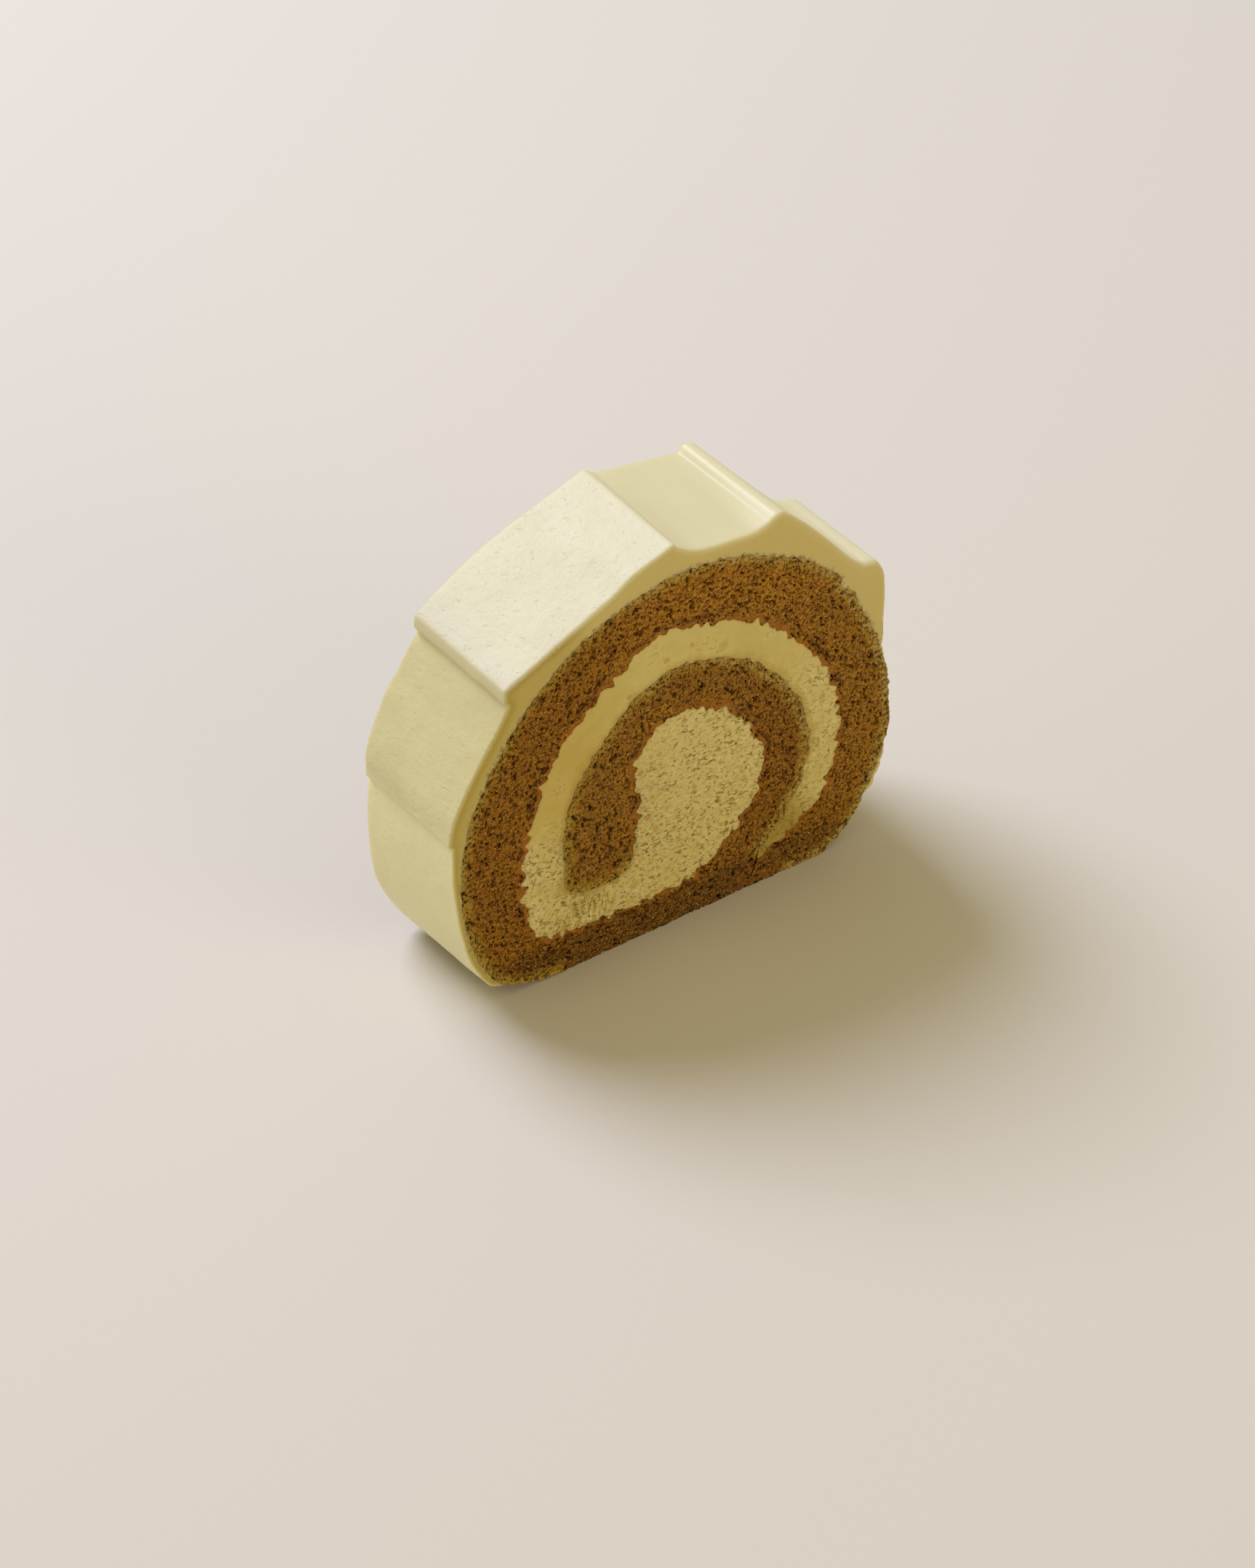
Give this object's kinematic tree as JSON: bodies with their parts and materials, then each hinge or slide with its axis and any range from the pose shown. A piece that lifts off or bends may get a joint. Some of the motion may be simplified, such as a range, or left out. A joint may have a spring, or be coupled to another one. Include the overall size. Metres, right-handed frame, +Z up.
{
  "type": "swiss roll cake slice",
  "caption": "Slice of brown sponge swiss roll with a spiral of pale cream and a faceted icing coat, standing on its flattened base.",
  "frame": {"origin": "middle of the slice's footprint on the surface it stands on", "axes": "+X across the slice to the right of the cut face in front, +Y through the slice from the front cut face to the back one, +Z up"},
  "size_m": [0.0987, 0.0274, 0.0853],
  "materials": {
    "sponge": "open brown cake crumb with a darker baked skin",
    "filling": "soft pale yellow whipped cream, cut with a knife",
    "icing": "smooth ivory cream spread with a palette knife"
  },
  "bodies": {
    "root": {"sponge": "sponge", "filling": "filling", "icing": "icing"}
  },
  "joints": []
}
